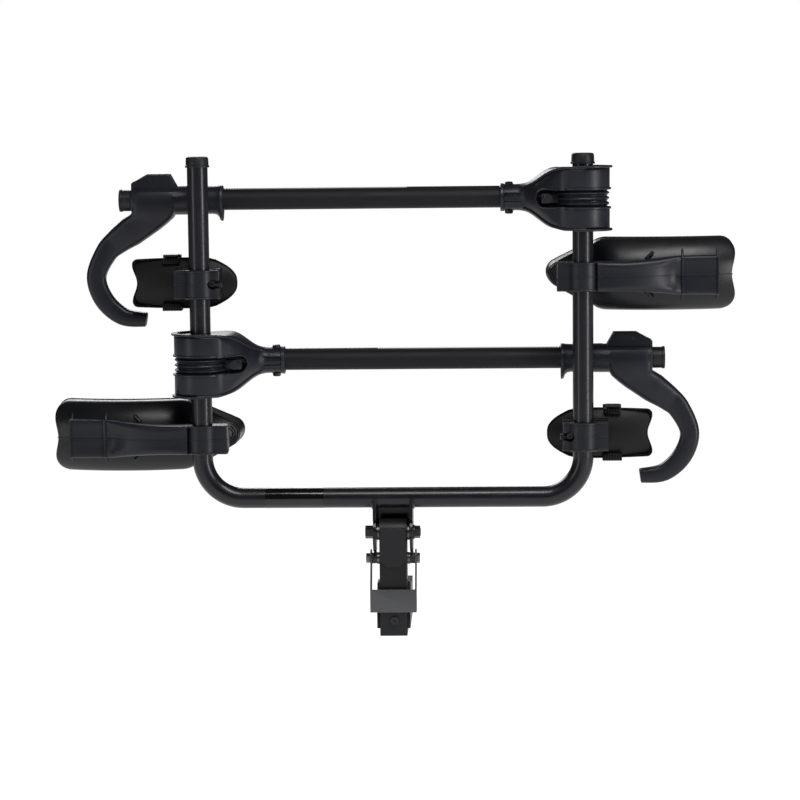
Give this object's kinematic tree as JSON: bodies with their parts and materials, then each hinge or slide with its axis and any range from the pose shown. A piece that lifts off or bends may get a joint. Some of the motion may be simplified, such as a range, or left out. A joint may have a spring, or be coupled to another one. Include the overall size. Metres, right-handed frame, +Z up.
{
  "type": "hitch mounted bike rack",
  "caption": "Folded platform bike rack on a square hitch stinger: U-shaped tube frame, wheel cradles, swinging arms with sliding ratchet hooks and a foot pedal that frees the tilt.",
  "frame": {"origin": "centre of the hitch pin hole on the axis of the square stinger", "axes": "+X across the vehicle, along the hitch pin; +Y forward into the receiver; +Z up, along the legs of the stowed rack"},
  "size_m": [1.272, 0.359, 0.8874],
  "materials": {
    "hitch_coat": "satin",
    "frame_coat": "satin",
    "pedal_steel": "satin",
    "zinc_steel": "dull zinc",
    "black_bolt": "black oxide",
    "gloss_band": "gloss",
    "end_caps": "matte",
    "strap_rubber": "matte",
    "moulded_nylon": "fine grain"
  },
  "bodies": {
    "hitch": {"stinger": "hitch_coat", "upright": "hitch_coat", "gussets": "hitch_coat", "head_plate": "hitch_coat", "stinger_cap": "end_caps", "cap_bolt": "black_bolt", "pivot_bush": "zinc_steel", "pedal_bolt": "zinc_steel", "pedal_springs": "zinc_steel"},
    "release_pedal": {"pedal": "pedal_steel", "pawls": "pedal_steel"},
    "arm_upper": {"yoke_upper": "moulded_nylon", "arm_tube_upper": "frame_coat", "rack_strip_upper": "frame_coat", "arm_cap_upper": "end_caps", "yoke_bolt_upper": "black_bolt"},
    "arm_lower": {"yoke_lower": "moulded_nylon", "arm_tube_lower": "frame_coat", "rack_strip_lower": "frame_coat", "arm_cap_lower": "end_caps", "yoke_bolt_lower": "black_bolt"},
    "ratchet_upper": {"hook_upper": "moulded_nylon", "lever_pin_upper": "black_bolt"},
    "ratchet_lower": {"hook_lower": "moulded_nylon", "lever_pin_lower": "black_bolt"},
    "trigger_upper": {"lever_upper": "moulded_nylon"},
    "trigger_lower": {"lever_lower": "moulded_nylon"},
    "buckle_upper": {"buckle_lever_upper": "moulded_nylon"},
    "buckle_lower": {"buckle_lever_lower": "moulded_nylon"},
    "carrier": {"u_frame": "frame_coat", "leg_cap_left": "end_caps", "leg_cap_right": "end_caps", "bar_band": "gloss_band", "bracket_plates": "frame_coat", "bracket_web": "frame_coat", "weld_beads": "frame_coat", "pivot_bolt": "black_bolt", "collar_upper": "moulded_nylon", "collar_lower": "moulded_nylon", "collar_bolts": "black_bolt", "tray_large_upper": "moulded_nylon", "tray_large_lower": "moulded_nylon", "saddle_large_upper": "moulded_nylon", "saddle_large_lower": "moulded_nylon", "clamp_large_upper": "moulded_nylon", "clamp_large_lower": "moulded_nylon", "large_clamp_bolts": "black_bolt", "tray_small_upper": "moulded_nylon", "tray_small_lower": "moulded_nylon", "saddle_small_upper": "moulded_nylon", "saddle_small_lower": "moulded_nylon", "clamp_small_upper": "moulded_nylon", "clamp_small_lower": "moulded_nylon", "small_clamp_bolts": "black_bolt", "strap_upper": "strap_rubber", "strap_lower": "strap_rubber", "buckle_base_upper": "moulded_nylon", "buckle_base_lower": "moulded_nylon"}
  },
  "joints": [
    {"name": "tilt", "type": "hinge", "parent": "hitch", "child": "carrier", "pos_m": [0, -0.215, 0.165], "axis": [1, 0, 0], "range_deg": [0, 125]},
    {"name": "pedal_press", "type": "hinge", "parent": "hitch", "child": "release_pedal", "pos_m": [0, -0.215, 0.116], "axis": [1, 0, 0], "range_deg": [-25, 0], "stiffness_Nm_per_rad": 2, "springref_deg": 8.59},
    {"name": "swing_upper", "type": "hinge", "parent": "carrier", "child": "arm_upper", "pos_m": [0.352, -0.215, 0.78], "axis": [0, 0, -1], "range_deg": [0, 150]},
    {"name": "swing_lower", "type": "hinge", "parent": "carrier", "child": "arm_lower", "pos_m": [-0.352, -0.215, 0.48], "axis": [0, 0, 1], "range_deg": [0, 150]},
    {"name": "slide_upper", "type": "slide", "parent": "arm_upper", "child": "ratchet_upper", "axis": [1, 0, 0], "range_m": [0, 0.344]},
    {"name": "slide_lower", "type": "slide", "parent": "arm_lower", "child": "ratchet_lower", "axis": [-1, 0, 0], "range_m": [0, 0.344]},
    {"name": "trigger_press_upper", "type": "hinge", "parent": "ratchet_upper", "child": "trigger_upper", "pos_m": [-0.447, -0.143, 0.8175], "axis": [0, -1, 0], "range_deg": [0, 8], "stiffness_Nm_per_rad": 1, "springref_deg": -5.73},
    {"name": "trigger_press_lower", "type": "hinge", "parent": "ratchet_lower", "child": "trigger_lower", "pos_m": [0.447, -0.143, 0.5175], "axis": [0, 1, 0], "range_deg": [0, 8], "stiffness_Nm_per_rad": 1, "springref_deg": -5.73},
    {"name": "buckle_open_upper", "type": "hinge", "parent": "carrier", "child": "buckle_upper", "pos_m": [-0.407, -0.1665, 0.6775], "axis": [-1, 0, 0], "range_deg": [0, 60]},
    {"name": "buckle_open_lower", "type": "hinge", "parent": "carrier", "child": "buckle_lower", "pos_m": [0.407, -0.1665, 0.3925], "axis": [-1, 0, 0], "range_deg": [0, 60]}
  ]
}
